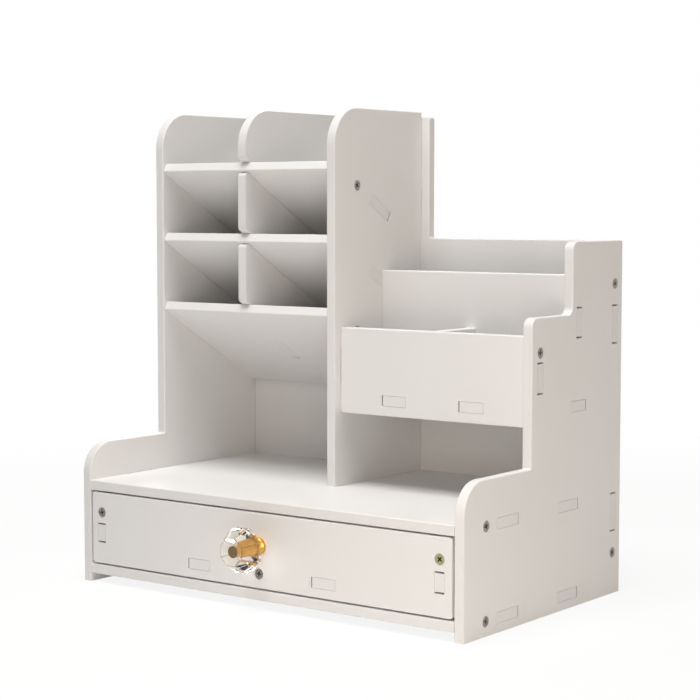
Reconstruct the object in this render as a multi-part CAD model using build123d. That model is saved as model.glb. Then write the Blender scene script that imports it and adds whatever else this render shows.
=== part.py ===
from build123d import *
import os
from math import cos, radians, sin

# White desk organizer of tabbed boards: a pen rack with sloping shelves, two stationery boxes and a drawer.
# X runs across from the middle, Y back from the front edges and Z up from the desk, all in millimetres.

# Boards and their joints
board = 6.5  # thickness of every board
edge_radius = 0.8  # softening of the edges that a hand meets
corner_radius = 2.0  # small corners of the boards' outlines
slot_gap = 0.18  # play between the faces of a tab and its slot
slot_end_gap = 1.1  # play at an open end of a tab
slot_push_gap = 0.15  # play at an end that a tab is pushed against
long_tab = 22.8
short_tab = 17.2
drawer_tab = 10.8

# Cabinet
width = 300.0  # over the two side panels
depth = 181.6  # of the side panels
foot_gap = 5.5  # desk to the underside of the bottom panel
drawer_opening = 48.8  # bottom panel to the deck
back_inset = 6.1  # rear edges of the side panels to the back panel
back_drop = 3.0  # top of the back panel below the top of the tower
back_lip = 6.2  # tall back panel past the outer face of the tower panel

# Low front cheeks and tower
cheek_rise = 23.9  # cheeks above the deck
cheek_radius = 19.2
cheek_hollow = 1.0  # inner corner between a cheek and the tower
tower_setback = 72.2  # front edge of the tower
tower_radius = 24.0
rack_headroom = 39.5  # top of the tower above the front of the top shelf

# Pen rack
pen_cell_width = 67.0
shelf_count = 3
shelf_tilt = 30.5  # degrees, down to the back
shelf_clear = 109.1  # deck to the lower front corner of the lowest shelf
shelf_pitch = 46.9
shelf_setback = 0.8  # front edge of the tower to the shelves
shelf_rear_gap = 0.2  # shelves to the back panel
tooth_radius = 2.5  # rounded mouths of the divider's slots

# Stationery boxes on the right
box_clear = 53.8  # deck to the underside of the box floor
box_front_inset = 6.3  # front edge of the step to the box front
box_front_height = 54.9
box_front_drop = 6.4  # lower edge of the box front below the floor
front_step_depth = 47.2  # step of the right panel beside the front box
front_step_rise = 11.2  # that step above the box front
box_divider_inset = 4.8  # front edge of the rear step to the divider
box_divider_height = 77.3  # above the box floor
rear_step_rise = 20.4  # rear step of the right panel above the divider
step_radius = 5.6  # outer corners of the steps
step_hollow = 4.6  # inner corner between the two steps

# Drawer
drawer_gap = 1.0  # above and below the drawer front
drawer_end_gap = 1.5  # at the two ends of the drawer front
drawer_run_gap = 0.3  # drawer sides to the bottom panel
drawer_side_inset = 5.3  # ends of the drawer front to the drawer sides
drawer_side_height = 41.0
drawer_floor_rise = 6.5  # lower edges of the sides to the underside of the drawer bottom
drawer_rear_gap = 11.0  # back of the drawer to the back panel

# Crystal knob
knob_rise = 27.3  # its axis above the bottom panel
knob_sides = 8
girdle_radius = 15.0  # widest ring of the crystal
girdle_length = 2.5
table_radius = 9.0  # flat front of the crystal
crown_length = 9.0  # girdle to the table
seat_radius = 7.4  # back of the crystal on its collar
pavilion_length = 9.0  # collar to the girdle
star_radius = 15.6  # girdle radius of the facets that lie between the main ones
star_reach = 13.0  # radius of those facets in the planes of the table and the seat
collar_radius = 5.6
collar_waist_radius = 4.6
collar_ring = 1.8  # length of the collar's base ring and of its rim
collar_length = 5.5
post_radius = 3.7  # core inside the crystal
post_length = 17.5
post_gap = 0.3
knob_screw_radius = 2.0
knob_screw_reach = 11.0  # past the drawer front
knob_screw_head_radius = 4.0
knob_screw_head_length = 2.6

# Countersunk screws
screw_head_radius = 3.2
screw_head_rim = 0.3
screw_shank_radius = 1.5
screw_length = 22.0
screw_sink = 0.2  # heads below the face of the board
screw_gap = 0.3

# Places of tabs and screws
side_tab_setbacks = (46.1, 115.3)  # of the bottom panel and the deck
side_screw_setback = 23.4
back_tab_heights = (52.6, 172.4)
back_screw_heights = (26.4, 198.1)
back_tab_offset = 90.0  # deck and bottom panel into the back, from the middle
tower_foot_inset = 16.5  # ends of the tower panel's foot to the middles of its two tabs in the deck
tower_tab_heights = (110.0, 250.0)  # tower panel into the back
shelf_screw_lead = 16.9  # a shelf's screw before the front end of its tab
box_front_tab_rise = 29.9  # from the lower edge of the box front
box_front_screw_rise = 45.2
box_divider_tab_rise = 48.1  # from the box floor
box_floor_tab_spacing = 57.7  # the floor's two tabs in the box front
floor_tab_shift = 1.0  # tabs of the two floors, to the right of the middle
drawer_side_tab_rise = 20.9  # from the lower edge of a drawer side
drawer_screw_rise = 34.4
drawer_floor_tab_offset = 49.3  # from their middle, in the front and the back of the drawer
drawer_floor_tab_setbacks = (45.0, 115.0)  # in the drawer sides

# Room at the low and high end of a tab along X, Y or Z, with tabs pushed to the right and to the front
slot_end_gaps = (
    (slot_end_gap, slot_push_gap),
    (slot_push_gap, slot_end_gap),
    (slot_end_gap, slot_end_gap),
)

# Planes that several boards share
left_face = -width / 2 + board
right_face = width / 2 - board
bottom_top = foot_gap + board
deck_underside = bottom_top + drawer_opening
deck_top = deck_underside + board
back_rear = depth - back_inset
back_face = back_rear - board
back_middle = back_rear - board / 2
rack_middle = left_face + pen_cell_width + board / 2
tower_left = left_face + 2 * pen_cell_width + board
tower_right = tower_left + board
shelf_front_height = deck_top + shelf_clear
tower_height = shelf_front_height + (shelf_count - 1) * shelf_pitch + rack_headroom
cheek_height = deck_top + cheek_rise

# Planes of the boxes
box_middle = (tower_right + right_face) / 2
box_floor_underside = deck_top + box_clear
box_floor_top = box_floor_underside + board
box_front_setback = tower_setback + box_front_inset
box_front_foot = box_floor_underside - box_front_drop
box_front_top = box_front_foot + box_front_height
rear_step_setback = tower_setback + front_step_depth
box_divider_setback = rear_step_setback + box_divider_inset
box_divider_top = box_floor_top + box_divider_height
front_step_height = box_front_top + front_step_rise
rear_step_height = box_divider_top + rear_step_rise

# Planes of the drawer
drawer_half_width = right_face - drawer_end_gap
drawer_side_outer = drawer_half_width - drawer_side_inset
drawer_side_inner = drawer_side_outer - board
drawer_foot = bottom_top + drawer_run_gap
drawer_floor_underside = drawer_foot + drawer_floor_rise
drawer_floor_top = drawer_floor_underside + board
drawer_side_top = drawer_foot + drawer_side_height
drawer_rear = back_face - drawer_rear_gap
knob_height = bottom_top + knob_rise
knob_projection = collar_length + pavilion_length + girdle_length + crown_length

# A shelf lies flat in its own frame, Y along the slope from its lower front corner and Z square to it
shelf_lean = sin(radians(shelf_tilt))
shelf_run = cos(radians(shelf_tilt))
shelf_front_setback = tower_setback + shelf_setback
shelf_length = (back_face - shelf_rear_gap - shelf_front_setback - board * shelf_lean) / shelf_run
shelf_lap = shelf_length / 2
shelf_names = ["pen_shelf_bottom", "pen_shelf_middle", "pen_shelf_top"]
shelf_places = [
    Pos(0, shelf_front_setback, shelf_front_height + level * shelf_pitch) * Rot(-shelf_tilt, 0, 0)
    for level in range(shelf_count)
]

# The part's origin is under the middle of the whole, the knob counted in
part_place = Pos(0, (knob_projection - depth) / 2, 0)
pieces = {}


def around(middle, length):
    """Low and high end of a length centred on a middle."""
    return (middle - length / 2, middle + length / 2)


def block(span, grow=0.0):
    """Box between the three (low, high) pairs of a span, every side moved out by grow."""
    sizes = [high - low + 2 * grow for low, high in span]
    middle = [(low + high) / 2 for low, high in span]
    return Pos(*middle) * Box(*sizes)


def slot(span):
    """Cut that takes a tab: close on its faces, with room at the ends of its length, X, Y or Z."""
    lengths = [high - low for low, high in span]
    along = lengths.index(max(lengths))
    gaps = [(slot_gap, slot_gap)] * 3
    gaps[along] = slot_end_gaps[along]
    return block([(low - below, high + above) for (low, high), (below, above) in zip(span, gaps)])


def outline(corners):
    """Face through (across, up, radius) corners, each rounded by its own radius."""
    points = [(across, up) for across, up, radius in corners]
    radii = [radius for across, up, radius in corners]
    return make_face(FilletPolyline(*points, radius=radii, close=True))


def soft_rims(solid, normal, foot):
    """The board with both rims of its outline softened above the foot that it stands on."""
    rims = [edge for face in solid.faces().filter_by(normal) for edge in face.outer_wire().edges()]
    return fillet([edge for edge in rims if edge.center().Z > foot + edge_radius], edge_radius)


def soft_lip(solid, along, toward, end):
    """The board with the edges along one axis softened at one end (0 or -1) of another axis."""
    return fillet(solid.edges().filter_by(along).group_by(toward)[end], edge_radius)


def join(name, host, spans, place=Pos(0, 0, 0)):
    """Give one board tabs and its host the slots that take them."""
    pieces[name] = pieces[name] + [place * block(span) for span in spans]
    pieces[host] = pieces[host] - [place * slot(span) for span in spans]


def screw_form(gap):
    """Countersunk screw down Z from the face of a board; a gap makes the hole that takes it."""
    head = screw_head_radius + gap
    shank = screw_shank_radius + gap
    top = gap - screw_sink
    rim = -screw_sink - screw_head_rim
    tip = -screw_length - gap
    profile = Polyline(
        (0, top), (head, top), (head, rim), (shank, rim + shank - head), (shank, tip), (0, tip), close=True
    )
    return revolve(Plane.XZ * make_face(profile), Axis.Z)


def drive(group, host, name, place):
    """One screw through the host into the edge of another board."""
    pieces.setdefault(group, []).append((place * screw_form(0)).solid())
    for drilled in (host, name):
        pieces[drilled] = pieces[drilled] - place * screw_form(screw_gap)


def upright(left, corners, foot):
    """Board that stands across X, from its outline in setbacks and heights."""
    return soft_rims(extrude(Plane.YZ.offset(left) * outline(corners), board), Axis.X, foot)


# Side panels and tower panel
cheek_corners = [
    (depth, 0, 0),
    (0, 0, 0),
    (0, cheek_height, cheek_radius),
    (tower_setback, cheek_height, cheek_hollow),
]
tower_corners = [(tower_setback, tower_height, tower_radius), (depth, tower_height, corner_radius)]
step_corners = [
    (tower_setback, front_step_height, step_radius),
    (rear_step_setback, front_step_height, step_hollow),
    (rear_step_setback, rear_step_height, step_radius),
    (depth, rear_step_height, corner_radius),
]
inner_tower_corners = [
    (back_face, deck_top, 0),
    (tower_setback, deck_top, 0),
    (tower_setback, tower_height, tower_radius),
    (back_face, tower_height, 0),
]
pieces["left_side_panel"] = upright(-width / 2, cheek_corners + tower_corners, 0)
pieces["right_side_panel"] = upright(right_face, cheek_corners + step_corners, 0)
pieces["tower_panel"] = upright(tower_left, inner_tower_corners, deck_top)

# Bottom panel and deck
for name, underside in (("bottom_panel", foot_gap), ("deck_panel", deck_underside)):
    flat = block(((left_face, right_face), (0, back_face), (underside, underside + board)))
    pieces[name] = soft_lip(flat, Axis.X, Axis.Y, 0)

# Back panel, tall behind the rack and low behind the boxes
back_corners = [
    (left_face, foot_gap, 0),
    (right_face, foot_gap, 0),
    (right_face, rear_step_height, corner_radius),
    (tower_right + back_lip, rear_step_height, corner_radius),
    (tower_right + back_lip, tower_height - back_drop, corner_radius),
    (left_face, tower_height - back_drop, corner_radius),
]
back_flat = extrude(Plane.XZ.offset(-back_rear) * outline(back_corners), board)
pieces["back_panel"] = soft_rims(back_flat, Axis.Y, foot_gap)

# Sloping shelves, each open from the back for the divider
divider_width = around(rack_middle, board)
for name, place in zip(shelf_names, shelf_places):
    flat = block(((left_face, tower_left), (0, shelf_length), (0, board)))
    shelf = soft_lip(flat, Axis.X, Axis.Y, 0)
    if name != shelf_names[0]:
        lap_slot = block((divider_width, (shelf_lap + slot_gap, shelf_length + board), (0, board)), slot_gap)
        shelf = shelf - lap_slot
    pieces[name] = place * shelf

# Divider of the rack, standing on the lowest shelf and open from the front for the upper ones
divider = extrude(Plane.YZ.offset(divider_width[0]) * outline(inner_tower_corners), board)
below_rack = block(((left_face, tower_left), (-depth, depth), (-depth, board)))
divider = divider - shelf_places[0] * below_rack
for place in shelf_places[1:]:
    mouth = block((divider_width, (-depth, shelf_lap - slot_gap), (0, board)), slot_gap)
    divider = divider - place * mouth
front_corners = divider.edges().filter_by(Axis.X).filter_by_position(
    Axis.Y, tower_setback - slot_gap, tower_setback + slot_gap
)
slot_corners = front_corners.filter_by_position(Axis.Z, deck_top, tower_height - tower_radius - slot_gap)
pieces["rack_divider"] = fillet(slot_corners, tooth_radius)

# Boxes: front, common floor, divider between them and partition of the front box
box_width = (tower_right, right_face)
box_front_corners = [
    (tower_right, box_front_foot, corner_radius),
    (right_face, box_front_foot, corner_radius),
    (right_face, box_front_top, corner_radius),
    (tower_right, box_front_top, corner_radius),
]
box_front_rear = box_front_setback + board
box_front_flat = extrude(Plane.XZ.offset(-box_front_rear) * outline(box_front_corners), board)
pieces["box_front_panel"] = soft_rims(box_front_flat, Axis.Y, 0)
pieces["box_floor"] = block((box_width, (box_front_rear, back_face), (box_floor_underside, box_floor_top)))
box_divider_depth = (box_divider_setback, box_divider_setback + board)
box_divider = block((box_width, box_divider_depth, (box_floor_top, box_divider_top)))
pieces["box_divider_panel"] = soft_lip(box_divider, Axis.X, Axis.Z, -1)
partition_width = around(box_middle, board)
partition_depth = (box_front_rear, box_divider_setback)
partition = block((partition_width, partition_depth, (box_floor_top, box_front_top)))
pieces["box_partition"] = soft_lip(partition, Axis.Y, Axis.Z, -1)

# Tabs of the cabinet into the side panels
left_wall = (-width / 2, left_face)
right_wall = (right_face, width / 2)
tower_wall = (tower_left, tower_right)
back_wall = (back_face, back_rear)
for host, wall in (("left_side_panel", left_wall), ("right_side_panel", right_wall)):
    for name, underside in (("bottom_panel", foot_gap), ("deck_panel", deck_underside)):
        layer = (underside, underside + board)
        join(name, host, [(wall, around(setback, long_tab), layer) for setback in side_tab_setbacks])
    join("back_panel", host, [(wall, back_wall, around(height, long_tab)) for height in back_tab_heights])

# Tabs into the back panel and of the tower panel into the deck
for name, underside in (("bottom_panel", foot_gap), ("deck_panel", deck_underside)):
    layer = (underside, underside + board)
    offsets = (-back_tab_offset, back_tab_offset)
    join(name, "back_panel", [(around(offset, long_tab), back_wall, layer) for offset in offsets])
tower_tabs = [(tower_wall, back_wall, around(height, long_tab)) for height in tower_tab_heights]
join("tower_panel", "back_panel", tower_tabs)
tower_foot = (tower_setback + tower_foot_inset, back_face - tower_foot_inset)
deck_layer = (deck_underside, deck_top)
foot_tabs = [(tower_wall, around(middle, long_tab), deck_layer) for middle in tower_foot]
join("tower_panel", "deck_panel", foot_tabs)

# Tabs of the shelves into the left panel and the tower panel, and of the divider into the lowest shelf
shelf_tab = around(shelf_length / 2, long_tab)
for name, place in zip(shelf_names, shelf_places):
    join(name, "left_side_panel", [(left_wall, shelf_tab, (0, board))], place)
    join(name, "tower_panel", [(tower_wall, shelf_tab, (0, board))], place)
join("rack_divider", shelf_names[0], [(divider_width, shelf_tab, (0, board))], shelf_places[0])

# Tabs of the boxes
box_floor_layer = (box_floor_underside, box_floor_top)
box_front_depth = (box_front_setback, box_front_rear)
floor_tab = around((box_front_rear + back_face) / 2, short_tab)
front_tab = around(box_front_foot + box_front_tab_rise, short_tab)
divider_tab = around(box_floor_top + box_divider_tab_rise, short_tab)
for host, wall in (("tower_panel", tower_wall), ("right_side_panel", right_wall)):
    join("box_floor", host, [(wall, floor_tab, box_floor_layer)])
    join("box_front_panel", host, [(wall, box_front_depth, front_tab)])
    join("box_divider_panel", host, [(wall, box_divider_depth, divider_tab)])
floor_middle = box_middle + floor_tab_shift
floor_front_tabs = [around(middle, short_tab) for middle in around(floor_middle, box_floor_tab_spacing)]
join("box_floor", "box_front_panel", [(tab, box_front_depth, box_floor_layer) for tab in floor_front_tabs])
join("box_floor", "back_panel", [(around(box_middle, long_tab), back_wall, box_floor_layer)])
partition_tab = around((box_front_rear + box_divider_setback) / 2, short_tab)
join("box_partition", "box_floor", [(partition_width, partition_tab, box_floor_layer)])

# Drawer: front, two sides, back and bottom
drawer_front_corners = [
    (-drawer_half_width, bottom_top + drawer_gap, corner_radius),
    (drawer_half_width, bottom_top + drawer_gap, corner_radius),
    (drawer_half_width, deck_underside - drawer_gap, corner_radius),
    (-drawer_half_width, deck_underside - drawer_gap, corner_radius),
]
drawer_front_flat = extrude(Plane.XZ.offset(-board) * outline(drawer_front_corners), board)
pieces["drawer_front"] = soft_rims(drawer_front_flat, Axis.Y, 0)
drawer_height = (drawer_foot, drawer_side_top)
drawer_floor_layer = (drawer_floor_underside, drawer_floor_top)
drawer_left_wall = (-drawer_side_outer, -drawer_side_inner)
drawer_right_wall = (drawer_side_inner, drawer_side_outer)
drawer_inside = (-drawer_side_inner, drawer_side_inner)
drawer_back_wall = (drawer_rear - board, drawer_rear)
drawer_front_wall = (0, board)
drawer_sides = (("drawer_left_side", drawer_left_wall), ("drawer_right_side", drawer_right_wall))
for name, wall in drawer_sides:
    pieces[name] = soft_lip(block((wall, (board, drawer_rear), drawer_height)), Axis.Y, Axis.Z, -1)
drawer_back = block((drawer_inside, drawer_back_wall, drawer_height))
pieces["drawer_back"] = soft_lip(drawer_back, Axis.X, Axis.Z, -1)
pieces["drawer_bottom"] = block((drawer_inside, (board, drawer_rear - board), drawer_floor_layer))

# Tabs of the drawer
drawer_side_tab = around(drawer_foot + drawer_side_tab_rise, drawer_tab)
drawer_floor_middles = around(floor_tab_shift, 2 * drawer_floor_tab_offset)
drawer_floor_tabs = [around(middle, short_tab) for middle in drawer_floor_middles]
for name, wall in drawer_sides:
    join(name, "drawer_front", [(wall, drawer_front_wall, drawer_side_tab)])
    join("drawer_back", name, [(wall, drawer_back_wall, drawer_side_tab)])
    side_tabs = [around(setback, short_tab) for setback in drawer_floor_tab_setbacks]
    join("drawer_bottom", name, [(wall, tab, drawer_floor_layer) for tab in side_tabs])
for host, wall in (("drawer_front", drawer_front_wall), ("drawer_back", drawer_back_wall)):
    join("drawer_bottom", host, [(tab, wall, drawer_floor_layer) for tab in drawer_floor_tabs])

# Screws through the side panels and the tower panel
facing_left = Rot(0, -90, 0)
facing_right = Rot(0, 90, 0)
facing_front = Rot(90, 0, 0)
sides = (
    ("left_side_panel", -width / 2, facing_left),
    ("right_side_panel", width / 2, facing_right),
)
for host, face, facing in sides:
    for name, underside in (("bottom_panel", foot_gap), ("deck_panel", deck_underside)):
        drive("cabinet_screws", host, name, Pos(face, side_screw_setback, underside + board / 2) * facing)
    for height in back_screw_heights:
        drive("cabinet_screws", host, "back_panel", Pos(face, back_middle, height) * facing)
for level in (0, shelf_count - 1):
    screw_line = shelf_places[level] * Pos(0, shelf_tab[0] - shelf_screw_lead, board / 2)
    for host, face, facing in (sides[0], ("tower_panel", tower_right, facing_right)):
        drive("cabinet_screws", host, shelf_names[level], screw_line * Pos(face, 0, 0) * facing)
box_front_screw = Pos(width / 2, box_front_setback + board / 2, box_front_foot + box_front_screw_rise)
drive("cabinet_screws", "right_side_panel", "box_front_panel", box_front_screw * facing_right)

# Screws through the drawer front
for name, wall in drawer_sides:
    drawer_screw = Pos(sum(wall) / 2, 0, drawer_foot + drawer_screw_rise)
    drive("drawer_screws", "drawer_front", name, drawer_screw * facing_front)
floor_screw = Pos(0, 0, drawer_floor_underside + board / 2)
drive("drawer_screws", "drawer_front", "drawer_bottom", floor_screw * facing_front)


def facets(back_radius, front_radius, length, turn):
    """Frustum with flat facets along Z from zero, turned about its axis."""
    back = RegularPolygon(back_radius, knob_sides, rotation=turn)
    front = Pos(0, 0, length) * RegularPolygon(front_radius, knob_sides, rotation=turn)
    return loft([back, front])


def crystal(girdle, seat, table, turn):
    """Closed cut form: pavilion, girdle and crown stacked along Z from the seat."""
    pavilion = facets(seat, girdle, pavilion_length, turn)
    band = Pos(0, 0, pavilion_length) * facets(girdle, girdle, girdle_length, turn)
    crown = Pos(0, 0, pavilion_length + girdle_length) * facets(girdle, table, crown_length, turn)
    return pavilion + band + crown


# Knob along Z from the face of the drawer front, then turned to the front
knob_place = Pos(0, 0, knob_height) * facing_front
half_step = 180 / knob_sides
main_cut = crystal(girdle_radius, seat_radius, table_radius, half_step)
star_cut = crystal(star_radius, star_reach, star_reach, 0)
post_bore = Cylinder(
    post_radius + post_gap, post_length + post_gap, align=(Align.CENTER, Align.CENTER, Align.MIN)
)
pieces["knob_crystal"] = knob_place * Pos(0, 0, collar_length) * (main_cut & star_cut - post_bore)

# Turned core: base ring, waist, rim under the crystal and post inside it, bored for the screw
screw_bore = knob_screw_radius + post_gap
core_profile = make_face(Polyline(
    (screw_bore, 0),
    (collar_radius, 0),
    (collar_radius, collar_ring),
    (collar_waist_radius, collar_length / 2),
    (collar_radius, collar_length - collar_ring),
    (collar_radius, collar_length),
    (post_radius, collar_length),
    (post_radius, collar_length + post_length),
    (0, collar_length + post_length),
    (0, knob_screw_reach + post_gap),
    (screw_bore, knob_screw_reach + post_gap),
    close=True,
))
pieces["knob_core"] = knob_place * revolve(Plane.XZ * core_profile, Axis.Z)

# Knob screw from inside the drawer, its head flat on the back of the drawer front
screw_shank = Cylinder(
    knob_screw_radius, board + knob_screw_reach, align=(Align.CENTER, Align.CENTER, Align.MIN)
)
screw_head = Cylinder(
    knob_screw_head_radius, knob_screw_head_length, align=(Align.CENTER, Align.CENTER, Align.MAX)
)
screw_hole = Cylinder(screw_bore, board, align=(Align.CENTER, Align.CENTER, Align.MAX))
pieces["knob_screw"] = knob_place * Pos(0, 0, -board) * (screw_shank + screw_head)
pieces["drawer_front"] = pieces["drawer_front"] - knob_place * screw_hole

os.makedirs("parts", exist_ok=True)
for name, piece in pieces.items():
    shape = Compound(piece) if isinstance(piece, list) else piece
    export_step(part_place * shape, f"parts/{name}.step")
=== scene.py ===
import math

import bmesh
import bpy
from mathutils import Matrix, Vector


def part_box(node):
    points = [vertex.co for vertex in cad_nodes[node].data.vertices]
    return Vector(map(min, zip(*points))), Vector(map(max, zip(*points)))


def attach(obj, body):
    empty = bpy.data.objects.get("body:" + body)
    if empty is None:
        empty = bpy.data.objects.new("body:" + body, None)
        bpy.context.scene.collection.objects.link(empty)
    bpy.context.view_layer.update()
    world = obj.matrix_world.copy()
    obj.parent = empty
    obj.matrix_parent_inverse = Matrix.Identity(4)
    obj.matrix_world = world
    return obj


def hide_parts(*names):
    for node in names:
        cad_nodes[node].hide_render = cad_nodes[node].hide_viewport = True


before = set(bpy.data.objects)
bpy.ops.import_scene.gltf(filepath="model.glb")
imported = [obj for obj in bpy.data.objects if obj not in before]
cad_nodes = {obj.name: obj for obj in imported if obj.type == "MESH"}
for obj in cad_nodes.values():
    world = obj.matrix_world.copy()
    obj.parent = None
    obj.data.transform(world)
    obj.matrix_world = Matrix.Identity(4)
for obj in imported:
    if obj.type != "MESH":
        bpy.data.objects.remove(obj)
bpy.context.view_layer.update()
scene = bpy.context.scene

# White desk organizer of tabbed boards, dressed around its solids. Everything is in metres.

# Camera
camera_place = (0.70891, -0.92894, 0.24643)
camera_turn = math.radians(36.897)
camera_dip = math.radians(4.482)
camera_lens = 94.052
camera_sensor = 36.0

# Studio light
room_light = 0.01
white = (1.0, 1.0, 1.0, 1.0)
white_strength = 1.0
white_light = (1.0, 0.985, 0.965)
warm_light = (1.0, 0.88, 0.76)
lamps = {
    "top_lamp": {
        "place": (0.04, -0.37, 1.43),
        "aim": (0.0, -0.04, 0.1),
        "size": 0.8,
        "power": 19.3,
        "tint": white_light,
    },
    "near_lamp": {
        "place": (0.32, -0.45, 0.14),
        "aim": (0.1, -0.09, 0.04),
        "size": 0.25,
        "power": 0.76,
        "tint": warm_light,
    },
    "right_lamp": {
        "place": (1.4, 0.2, 0.5),
        "aim": (0.0, 0.0, 0.1),
        "size": 0.8,
        "power": 3.75,
        "tint": warm_light,
    },
    "back_lamp": {
        "place": (-1.25, 0.85, 0.4),
        "aim": (0.0, 0.0, 0.12),
        "size": 0.8,
        "power": 10.0,
        "tint": white_light,
    },
}

# Floor
floor_size = 12.0
floor_colour = (0.9, 0.9, 0.9, 1.0)
floor_whiteness = 0.87
floor_fade = (0.35, 0.9)  # where the floor turns to plain backdrop, from the middle of the object

# Faces of the board
board_tone = (0.82, 0.815, 0.808, 1.0)
board_roughness = 0.5
board_mottle = 0.025
noise_middle = 0.5
cloud_scale = 9.0
cloud_detail = 3.0
smudge_scale = 45.0
smudge_detail = 4.0
smudge_limits = (0.35, 0.75)
smudge_sheen = (-0.05, 0.06)  # what the smudges add to the roughness
peel_scale = 900.0
peel_detail = 2.0
peel_depth = 0.00004
peel_strength = 0.25
shelf_tilt = math.radians(30.5)

# Sawn edges of the board
edge_tone = (0.79, 0.785, 0.78, 1.0)
edge_share = 0.6
edge_roughness = 0.1  # added to the roughness of the faces
edge_limits = (0.55, 0.9)  # how squarely a surface looks along the thickness, at an edge and on a face
mark_scale = 750.0
mark_detail = 1.0
mark_depth = 0.00006
mark_strength = 0.3

# Metals
gilt_look = {
    "dark": (0.67, 0.335, 0.061, 1.0),
    "bright": (0.80, 0.435, 0.086, 1.0),
    "roughness": (0.16, 0.26),
    "scale": 130.0,
    "depth": 0.00002,
}
zinc_look = {
    "dark": (0.17, 0.149, 0.137, 1.0),
    "bright": (0.35, 0.308, 0.284, 1.0),
    "roughness": (0.30, 0.48),
    "scale": 900.0,
    "depth": 0.00004,
}
# Painted shade: the screws' cross recesses are coloured near black for the shade inside them
painted_recess_shade_look = {
    "dark": (0.05, 0.048, 0.04, 1.0),
    "bright": (0.12, 0.11, 0.09, 1.0),
    "roughness": (0.5, 0.7),
    "scale": 900.0,
    "depth": 0.00004,
}
patch_detail = 4.0
patch_limits = (0.3, 0.7)
patch_strength = 0.2
# Painted shade: the front end of the gilt core, seen through the crystal's table, is darkened to this tone
painted_core_end_shade = (0.16, 0.095, 0.02, 1.0)
painted_core_end_shade_fade = (0.00005, 0.0001)  # how far behind the core's front end its painted shade fades out
tarnish_tone = (0.44, 0.42, 0.20, 1.0)
tarnish_scale = 21.0
tarnish_detail = 0.0
tarnish_limits = (0.55, 0.68)
tarnish_most = 0.75

# Screws
head_squares = 6  # along each side of the grid that becomes the top of a screw head
cross_half_width = 1  # of the cross in that grid, in squares
cross_reach = 2
screw_arm_half_width = 0.00042
screw_arm_reach = 0.0018
screw_recess_depth = 0.0015
screw_recess_taper = 0.5
screw_flat_share = 0.93
screw_dome = 0.0001
screw_rim_drop = 0.0002
screw_rim = 0.0003
screw_shank_radius = 0.0015
screw_tip_length = 0.003
screw_tip_share = 0.3
pan_dome = 0.0006
pan_rim_drop = 0.00108
pan_head_height = 0.0026
pan_shank_radius = 0.002
first_turn = math.radians(12.0)
next_turn = math.radians(37.0)  # every screw came to rest at another turn
sharp_angle = math.radians(35)
weld_distance = 0.000001

# Crystal knob
crystal_bore = 0.0042  # everything of the crystal nearer to its axis is the bore for the core
crystal_sink = 0.00003  # seat into the collar, so that glass and metal share no plane
crystal_arris = 0.00028  # width of the polished edges between facets
crystal_tint = (0.985, 0.985, 0.975, 1.0)
arris_painted_shade = (0.4, 0.38, 0.35, 1.0)  # painted shade: the edges are tinted dark all over, for the dark lines they show where they catch no light
crystal_ior = 1.54
smear_scale = 160.0
smear_detail = 3.0
smear_limits = (0.55, 0.8)
smear_roughness = 0.03
flat_angle = math.radians(1)

# Kinds of socket on a node group
colour_kind = "NodeSocketColor"
value_kind = "NodeSocketFloat"
vector_kind = "NodeSocketVector"


def feed(tree, node, inputs):
    """Link or set the named sockets of a node."""
    for key, value in inputs.items():
        if isinstance(value, bpy.types.NodeSocket):
            tree.links.new(value, node.inputs[key])
        else:
            node.inputs[key].default_value = value


def add_node(tree, kind, inputs, **settings):
    """A node with its settings made and its sockets fed."""
    node = tree.nodes.new(kind)
    for name, value in settings.items():
        setattr(node, name, value)
    feed(tree, node, inputs)
    return node


def math_node(tree, operation, *values):
    """Result socket of one sum on values."""
    return add_node(tree, "ShaderNodeMath", dict(enumerate(values)), operation=operation).outputs[0]


def vector_node(tree, operation, *vectors):
    """Node of one sum on vectors."""
    return add_node(tree, "ShaderNodeVectorMath", dict(enumerate(vectors)), operation=operation)


def noise_node(tree, vector, scale, detail):
    """Value socket of a noise."""
    inputs = {"Vector": vector, "Scale": scale, "Detail": detail}
    return add_node(tree, "ShaderNodeTexNoise", inputs).outputs["Fac"]


def spread(tree, value, limits, results):
    """Value stretched smoothly from a pair of limits to a pair of results."""
    inputs = {0: value, 1: limits[0], 2: limits[1], 3: results[0], 4: results[1]}
    return add_node(tree, "ShaderNodeMapRange", inputs, interpolation_type="SMOOTHSTEP").outputs[0]


def blend_colours(tree, share, first, second):
    """Colour socket between two colours."""
    return add_node(tree, "ShaderNodeMix", {0: share, 6: first, 7: second}, data_type="RGBA").outputs[2]


def bump_node(tree, strength, depth, height):
    """Bump of a height."""
    return add_node(tree, "ShaderNodeBump", {"Strength": strength, "Distance": depth, "Height": height})


def start_group(name, inputs, outputs):
    """Empty shader group with named sockets, and its two end nodes."""
    group = bpy.data.node_groups.new(name, "ShaderNodeTree")
    for socket_name, kind in inputs.items():
        group.interface.new_socket(socket_name, in_out="INPUT", socket_type=kind)
    for socket_name, kind in outputs.items():
        group.interface.new_socket(socket_name, in_out="OUTPUT", socket_type=kind)
    return group, group.nodes.new("NodeGroupInput"), group.nodes.new("NodeGroupOutput")


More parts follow.
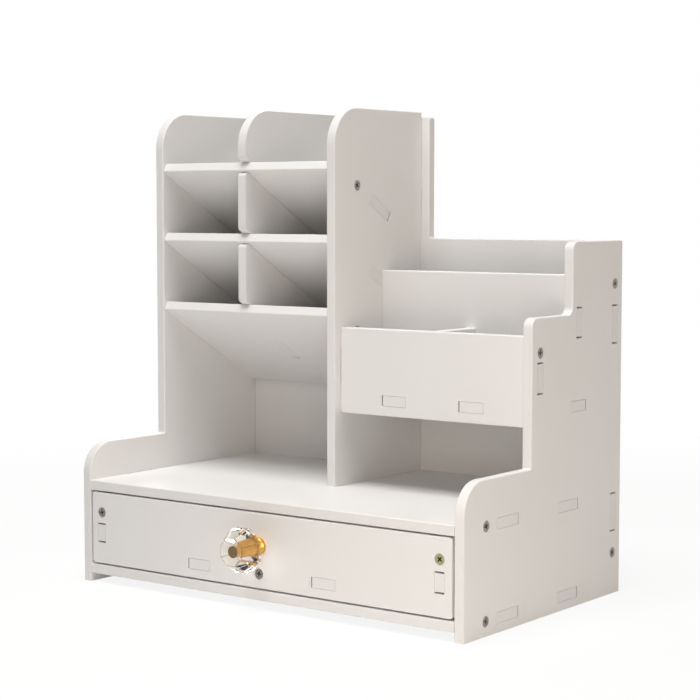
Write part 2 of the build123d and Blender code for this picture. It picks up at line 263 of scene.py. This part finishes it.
def make_board_skin():
    """Skin of the rolled board: slow clouds in its tone, faint smudges in its sheen and a fine peel."""
    group, start, end = start_group(
        "board_skin",
        {"Vector": vector_kind, "Tone": colour_kind, "Mottle": value_kind, "Roughness": value_kind},
        {"Color": colour_kind, "Roughness": value_kind, "Height": value_kind},
    )
    vector = start.outputs["Vector"]
    clouds = noise_node(group, vector, cloud_scale, cloud_detail)
    centred = math_node(group, "SUBTRACT", clouds, noise_middle)
    lift = math_node(group, "MULTIPLY_ADD", centred, start.outputs["Mottle"], 1.0)
    tone = vector_node(group, "SCALE", start.outputs["Tone"])
    feed(group, tone, {"Scale": lift})
    smudges = noise_node(group, vector, smudge_scale, smudge_detail)
    sheen = spread(group, smudges, smudge_limits, smudge_sheen)
    feed(group, end, {
        "Color": tone.outputs[0],
        "Roughness": math_node(group, "ADD", start.outputs["Roughness"], sheen),
        "Height": noise_node(group, vector, peel_scale, peel_detail),
    })
    return group


def make_cut_edge():
    """Where a board shows its sawn edge, and the fine cutter marks that run across its thickness there."""
    group, start, end = start_group(
        "cut_edge",
        {"Vector": vector_kind, "Normal": vector_kind, "Across": vector_kind},
        {"Edge": value_kind, "Marks": value_kind},
    )
    vector = start.outputs["Vector"]
    across = start.outputs["Across"]
    facing = vector_node(group, "DOT_PRODUCT", start.outputs["Normal"], across)
    squarely = math_node(group, "ABSOLUTE", facing.outputs["Value"])
    edge = spread(group, squarely, edge_limits, (1.0, 0.0))
    through = vector_node(group, "PROJECT", vector, across)
    along = vector_node(group, "SUBTRACT", vector, through.outputs[0])
    marks = noise_node(group, along.outputs[0], mark_scale, mark_detail)
    feed(group, end, {"Edge": edge, "Marks": math_node(group, "MULTIPLY", marks, edge)})
    return group


def make_worn_metal():
    """Mottled plating: a colour between two tones, a roughness between two and a height."""
    group, start, end = start_group(
        "worn_metal",
        {
            "Vector": vector_kind,
            "Dark": colour_kind,
            "Bright": colour_kind,
            "Low Roughness": value_kind,
            "High Roughness": value_kind,
            "Scale": value_kind,
        },
        {"Color": colour_kind, "Roughness": value_kind, "Height": value_kind},
    )
    mottle = noise_node(group, start.outputs["Vector"], start.outputs["Scale"], patch_detail)
    patches = spread(group, mottle, patch_limits, (0.0, 1.0))
    roughness = add_node(
        group,
        "ShaderNodeMapRange",
        {0: patches, 3: start.outputs["Low Roughness"], 4: start.outputs["High Roughness"]},
    )
    feed(group, end, {
        "Color": blend_colours(group, patches, start.outputs["Dark"], start.outputs["Bright"]),
        "Roughness": roughness.outputs[0],
        "Height": patches,
    })
    return group


def make_glass_smear():
    """Faint smear on polished glass."""
    group, start, end = start_group("glass_smear", {"Vector": vector_kind}, {"Roughness": value_kind})
    haze = noise_node(group, start.outputs["Vector"], smear_scale, smear_detail)
    feed(group, end, {"Roughness": spread(group, haze, smear_limits, (0.0, smear_roughness))})
    return group


board_skin = make_board_skin()
cut_edge = make_cut_edge()
worn_metal = make_worn_metal()
glass_smear = make_glass_smear()


def start_material(name):
    """Node material with its Principled shader and its texture coordinates."""
    material = bpy.data.materials.new(name)
    material.use_nodes = True
    tree = material.node_tree
    return material, tree, tree.nodes["Principled BSDF"], tree.nodes.new("ShaderNodeTexCoord")


def group_node(tree, group, inputs):
    """Group placed in a material with its own values."""
    return add_node(tree, "ShaderNodeGroup", inputs, node_tree=group)


def board_finish(name, across):
    """Satin white board whose faces look along one direction."""
    material, tree, shader, coords = start_material(name)
    place = coords.outputs["Object"]
    skin = group_node(
        tree,
        board_skin,
        {"Vector": place, "Tone": board_tone, "Mottle": board_mottle, "Roughness": board_roughness},
    )
    cut = group_node(tree, cut_edge, {"Vector": place, "Normal": coords.outputs["Normal"], "Across": across})
    edge = cut.outputs["Edge"]
    share = math_node(tree, "MULTIPLY", edge, edge_share)
    peel = bump_node(tree, peel_strength, peel_depth, skin.outputs["Height"])
    marks = bump_node(tree, mark_strength, mark_depth, cut.outputs["Marks"])
    feed(tree, marks, {"Normal": peel.outputs[0]})
    feed(tree, shader, {
        "Base Color": blend_colours(tree, share, skin.outputs["Color"], edge_tone),
        "Roughness": math_node(tree, "MULTIPLY_ADD", edge, edge_roughness, skin.outputs["Roughness"]),
        "Normal": marks.outputs[0],
    })
    return material


def metal_finish(name, dark, bright, roughness, scale, depth):
    """Plated metal between two tones."""
    material, tree, shader, coords = start_material(name)
    plating = group_node(
        tree,
        worn_metal,
        {
            "Vector": coords.outputs["Object"],
            "Dark": dark,
            "Bright": bright,
            "Low Roughness": roughness[0],
            "High Roughness": roughness[1],
            "Scale": scale,
        },
    )
    bump = bump_node(tree, patch_strength, depth, plating.outputs["Height"])
    feed(tree, shader, {
        "Base Color": plating.outputs["Color"],
        "Roughness": plating.outputs["Roughness"],
        "Normal": bump.outputs[0],
        "Metallic": 1.0,
    })
    return material


def crystal_finish(name, tint):
    """Cut glass, polished, with a faint smear, that lets the lamps shine through."""
    material, tree, shader, coords = start_material(name)
    smear = group_node(tree, glass_smear, {"Vector": coords.outputs["Object"]})
    feed(tree, shader, {
        "Base Color": tint,
        "Roughness": smear.outputs["Roughness"],
        "IOR": crystal_ior,
        "Transmission Weight": 1.0,
    })
    path = tree.nodes.new("ShaderNodeLightPath")
    clear = add_node(tree, "ShaderNodeBsdfTransparent", {"Color": tint})
    mixed = add_node(
        tree,
        "ShaderNodeMixShader",
        {0: path.outputs["Is Shadow Ray"], 1: shader.outputs[0], 2: clear.outputs[0]},
    )
    feed(tree, tree.nodes["Material Output"], {"Surface": mixed.outputs[0]})
    return material


def tint_metal(material, tone, share_at):
    """Blend the colour of a metal to another tone, by a share that depends on the place."""
    tree = material.node_tree
    shader = tree.nodes["Principled BSDF"]
    plated = shader.inputs["Base Color"].links[0].from_socket
    coords = tree.nodes.new("ShaderNodeTexCoord")
    share = share_at(tree, coords.outputs["Object"])
    feed(tree, shader, {"Base Color": blend_colours(tree, share, plated, tone)})


def painted_core_end_shade_at(tree, place):
    """Painted shade on the front end of the core, where it is seen through the crystal's table."""
    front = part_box("knob_core")[0][1]
    parts = add_node(tree, "ShaderNodeSeparateXYZ", {0: place})
    limits = [front + behind for behind in painted_core_end_shade_fade]
    return spread(tree, parts.outputs["Y"], limits, (1.0, 0.0))


def tarnish_at(tree, place):
    """Tarnish that some of the screws have caught and others have not."""
    slow = noise_node(tree, place, tarnish_scale, tarnish_detail)
    return spread(tree, slow, tarnish_limits, (0.0, tarnish_most))


# Boards, by the way that their faces look
board_ways = {
    "board_across_x": ((1, 0, 0), [
        "left_side_panel", "right_side_panel", "tower_panel", "rack_divider", "box_partition",
        "drawer_left_side", "drawer_right_side",
    ]),
    "board_across_y": ((0, 1, 0), [
        "back_panel", "box_front_panel", "box_divider_panel", "drawer_front", "drawer_back",
    ]),
    "board_across_z": ((0, 0, 1), [
        "bottom_panel", "deck_panel", "box_floor", "drawer_bottom",
    ]),
    "board_sloping": ((0, math.sin(shelf_tilt), math.cos(shelf_tilt)), [
        "pen_shelf_bottom", "pen_shelf_middle", "pen_shelf_top",
    ]),
}


def dress(name, material):
    """Give a solid its finish."""
    mesh = cad_nodes[name].data
    mesh.materials.clear()
    mesh.materials.append(material)


for finish_name, (across, names) in board_ways.items():
    finish = board_finish(finish_name, across)
    for name in names:
        dress(name, finish)
gilt = metal_finish("gilt", **gilt_look)
# painted shade darkens the core's front end
tint_metal(gilt, painted_core_end_shade, painted_core_end_shade_at)
screw_plate = metal_finish("zinc_plate", **zinc_look)
tint_metal(screw_plate, tarnish_tone, tarnish_at)
# near-black metal in the recesses: painted shade
painted_recess_shade = metal_finish("recess_shadow", **painted_recess_shade_look)
crystal_glass = crystal_finish("cut_crystal", crystal_tint)
# dark glass on the polished edges: painted shade
painted_shade_arris_glass = crystal_finish("crystal_arris", arris_painted_shade)
dress("knob_crystal", crystal_glass)
dress("knob_core", gilt)


def welded_copy(node):
    """Copy of a solid's mesh with its loose triangles joined."""
    bm = bmesh.new()
    bm.from_mesh(cad_nodes[node].data)
    bmesh.ops.remove_doubles(bm, verts=bm.verts, dist=weld_distance)
    return bm


def mesh_object(name, bm, finishes):
    """Object of a finished mesh, with its finishes in their order."""
    mesh = bpy.data.meshes.new(name)
    bm.to_mesh(mesh)
    bm.free()
    for finish in finishes:
        mesh.materials.append(finish)
    made = bpy.data.objects.new(name, mesh)
    scene.collection.objects.link(made)
    return made


def loose_parts(bm):
    """Points of every loose part of a mesh."""
    seen = set()
    parts = []
    for first in bm.verts:
        if first in seen:
            continue
        seen.add(first)
        front = [first]
        points = []
        while front:
            vert = front.pop()
            points.append(vert.co.copy())
            for edge in vert.link_edges:
                other = edge.other_vert(vert)
                if other not in seen:
                    seen.add(other)
                    front.append(other)
        parts.append(points)
    return parts


def plain_screws(node):
    """Every screw of a group: middle of its head's top, way that it faces, head radius and length."""
    bm = welded_copy(node)
    found = []
    for points in loose_parts(bm):
        low = Vector([min(point[i] for point in points) for i in range(3)])
        high = Vector([max(point[i] for point in points) for i in range(3)])
        middle = (low + high) / 2
        size = high - low
        axis = max(range(3), key=lambda i: size[i])
        side = (axis + 1) % 3
        widest = max(points, key=lambda point: abs(point[side] - middle[side]))
        head_high = widest[axis] > middle[axis]
        top = middle.copy()
        top[axis] = high[axis] if head_high else low[axis]
        way = Vector((0, 0, 0))
        way[axis] = 1 if head_high else -1
        found.append((top, way, size[side] / 2, size[axis]))
    bm.free()
    return found


def start_head(bm, head_radius, dome):
    """Round, slightly domed top of a screw head, and the faces of the cross on it."""
    bmesh.ops.create_grid(bm, x_segments=head_squares, y_segments=head_squares, size=head_squares / 2)
    cross = []
    for face in bm.faces:
        middle = face.calc_center_median()
        near, far = sorted((abs(middle.x), abs(middle.y)))
        if near < cross_half_width and far < cross_reach:
            cross.append(face)
    steps = (0.0, screw_arm_half_width, screw_arm_reach)
    for vert in bm.verts:
        if vert.is_boundary:
            vert.co = vert.co.normalized() * head_radius * screw_flat_share
        else:
            vert.co = [math.copysign(steps[round(abs(value))], value) for value in vert.co]
        vert.co.z = -dome * (vert.co.length / head_radius) ** 2
    return cross


def sink_cross(bm, cross):
    """Tapered recess below the cross, in the second finish, which paints its shade dark."""
    made = bmesh.ops.extrude_face_region(bm, geom=cross)
    bmesh.ops.delete(bm, geom=cross, context="FACES")
    floor_verts = [part for part in made["geom"] if isinstance(part, bmesh.types.BMVert)]
    bmesh.ops.scale(bm, vec=(screw_recess_taper, screw_recess_taper, 1), verts=floor_verts)
    bmesh.ops.translate(bm, vec=(0, 0, -screw_recess_depth), verts=floor_verts)
    for face in bm.faces:
        face.material_index = int(any(vert in floor_verts for vert in face.verts))


def draw_rings(bm, loop, rings):
    """Sides of a screw, drawn from the edge of its head through rings (radius, height) and closed."""
    for radius, height in rings:
        made = bmesh.ops.extrude_edge_only(bm, edges=loop)
        edges = [part for part in made["geom"] if isinstance(part, bmesh.types.BMEdge)]
        loop = [edge for edge in edges if edge.is_boundary]
        for part in made["geom"]:
            if isinstance(part, bmesh.types.BMVert):
                flat = Vector((part.co.x, part.co.y)).normalized() * radius
                part.co = (flat.x, flat.y, height)
    bmesh.ops.contextual_create(bm, geom=loop)


def cross_screw(head_radius, dome, rings):
    """One screw down -Z from its head's top: a cross recess, then rings (radius, height) down to its tip."""
    bm = bmesh.new()
    cross = start_head(bm, head_radius, dome)
    loop = [edge for edge in bm.edges if edge.is_boundary]
    sink_cross(bm, cross)
    draw_rings(bm, loop, rings)
    bmesh.ops.recalc_face_normals(bm, faces=bm.faces)
    for face in bm.faces:
        face.smooth = True
    for edge in bm.edges:
        edge.smooth = edge.calc_face_angle(0.0) < sharp_angle
    mesh = bpy.data.meshes.new("one_screw")
    bm.to_mesh(mesh)
    bm.free()
    return mesh


def make_screws(name, node, body, dome, rings_of):
    """Cross-head screws in the places of a group of plain ones, as one piece."""
    bm = bmesh.new()
    for count, (top, way, head_radius, length) in enumerate(plain_screws(node)):
        one = cross_screw(head_radius, dome, rings_of(head_radius, length))
        before = len(bm.verts)
        bm.from_mesh(one)
        bpy.data.meshes.remove(one)
        bm.verts.ensure_lookup_table()
        turn = Matrix.Rotation(first_turn + count * next_turn, 4, "Z")
        facing = Vector((0, 0, 1)).rotation_difference(way).to_matrix().to_4x4()
        place = Matrix.Translation(top) @ facing @ turn
        bmesh.ops.transform(bm, matrix=place, verts=bm.verts[before:])
    piece = mesh_object(name, bm, [screw_plate, painted_recess_shade])
    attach(piece, body)
    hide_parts(node)


def countersunk_rings(head_radius, length):
    """Rim, cone, shank and tip of a countersunk screw."""
    cone_end = -screw_rim - (head_radius - screw_shank_radius)
    return [
        (head_radius, -screw_rim_drop),
        (head_radius, -screw_rim),
        (screw_shank_radius, cone_end),
        (screw_shank_radius, screw_tip_length - length),
        (screw_shank_radius * screw_tip_share, -length),
    ]


def pan_rings(head_radius, length):
    """Rounded rim, underside and shank of a pan head screw."""
    return [
        (head_radius, -pan_rim_drop),
        (head_radius, -pan_head_height),
        (pan_shank_radius, -pan_head_height),
        (pan_shank_radius, -length),
    ]


make_screws("cabinet_cross_screws", "cabinet_screws", "cabinet", screw_dome, countersunk_rings)
make_screws("drawer_cross_screws", "drawer_screws", "drawer", screw_dome, countersunk_rings)
make_screws("knob_pan_screw", "knob_screw", "drawer", pan_dome, pan_rings)


def make_crystal():
    """The crystal as one solid without the core's bore, its facets merged and their edges polished."""
    bm = welded_copy("knob_crystal")
    low, high = (Vector(corner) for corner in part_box("knob_crystal"))
    middle = (low + high) / 2
    near_axis = {vert for vert in bm.verts if (vert.co.xz - middle.xz).length < crystal_bore}
    bore = [face for face in bm.faces if near_axis.issuperset(face.verts)]
    bmesh.ops.delete(bm, geom=bore, context="FACES")
    bmesh.ops.holes_fill(bm, edges=[edge for edge in bm.edges if edge.is_boundary])
    bmesh.ops.dissolve_limit(bm, angle_limit=flat_angle, verts=bm.verts, edges=bm.edges)
    for vert in bm.verts:
        if high.y - vert.co.y < crystal_sink:
            vert.co.y += crystal_sink
    polished = bmesh.ops.bevel(
        bm, geom=bm.edges[:], offset=crystal_arris, segments=1, profile=0.5, affect="EDGES", material=-1
    )
    # the polished edges take the dark glass, painted shade
    for face in polished["faces"]:
        face.material_index = 1
    piece = mesh_object("knob_cut_crystal", bm, [crystal_glass, painted_shade_arris_glass])
    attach(piece, "drawer")
    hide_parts("knob_crystal")


make_crystal()


def seen_directly(tree):
    """Share of a ray that shows the background: straight from the camera, in a mirror or through glass."""
    path = tree.nodes.new("ShaderNodeLightPath")
    mirrored = math_node(tree, "MAXIMUM", path.outputs["Is Glossy Ray"], path.outputs["Is Transmission Ray"])
    return math_node(tree, "MAXIMUM", path.outputs["Is Camera Ray"], mirrored)


def make_world():
    """Even room light, white where it is seen."""
    world = bpy.data.worlds.new("studio")
    world.use_nodes = True
    scene.world = world
    tree = world.node_tree
    tree.nodes.clear()
    room = add_node(tree, "ShaderNodeBackground", {"Color": white, "Strength": room_light})
    backdrop = add_node(tree, "ShaderNodeBackground", {"Color": white, "Strength": white_strength})
    mixed = add_node(
        tree,
        "ShaderNodeMixShader",
        {0: seen_directly(tree), 1: room.outputs[0], 2: backdrop.outputs[0]},
    )
    add_node(tree, "ShaderNodeOutputWorld", {"Surface": mixed.outputs[0]})


def floor_finish():
    """Matt floor, near white where it is seen, and plain white away from the object."""
    material = bpy.data.materials.new("pale_floor")
    material.use_nodes = True
    tree = material.node_tree
    tree.nodes.clear()
    matt = add_node(tree, "ShaderNodeBsdfDiffuse", {"Color": floor_colour})
    glow = add_node(tree, "ShaderNodeEmission", {"Color": white, "Strength": white_strength})
    coords = tree.nodes.new("ShaderNodeTexCoord")
    away = vector_node(tree, "LENGTH", coords.outputs["Object"])
    whiteness = spread(tree, away.outputs["Value"], floor_fade, (floor_whiteness, 1.0))
    share = math_node(tree, "MULTIPLY", seen_directly(tree), whiteness)
    mixed = add_node(tree, "ShaderNodeMixShader", {0: share, 1: matt.outputs[0], 2: glow.outputs[0]})
    add_node(tree, "ShaderNodeOutputMaterial", {"Surface": mixed.outputs[0]})
    return material


def make_floor():
    """Pale floor that keeps a soft shadow and runs into the white backdrop."""
    bm = bmesh.new()
    bmesh.ops.create_grid(bm, x_segments=1, y_segments=1, size=floor_size / 2)
    floor = mesh_object("floor", bm, [floor_finish()])


def make_lamp(name, place, aim, size, power, tint):
    """Square soft lamp aimed at a point."""
    light = bpy.data.lights.new(name, "AREA")
    light.size = size
    light.energy = power
    light.color = tint
    lamp = bpy.data.objects.new(name, light)
    lamp.location = place
    lamp.rotation_euler = (Vector(aim) - Vector(place)).to_track_quat("-Z", "Y").to_euler()
    scene.collection.objects.link(lamp)


def make_camera():
    """Camera at the photograph's view."""
    data = bpy.data.cameras.new("camera")
    data.lens = camera_lens
    data.sensor_width = camera_sensor
    camera = bpy.data.objects.new("camera", data)
    camera.location = camera_place
    camera.rotation_euler = (math.pi / 2 - camera_dip, 0.0, camera_turn)
    scene.collection.objects.link(camera)
    scene.camera = camera


make_world()
make_floor()
for lamp_name, values in lamps.items():
    make_lamp(lamp_name, **values)
make_camera()
scene.view_settings.view_transform = "Standard"
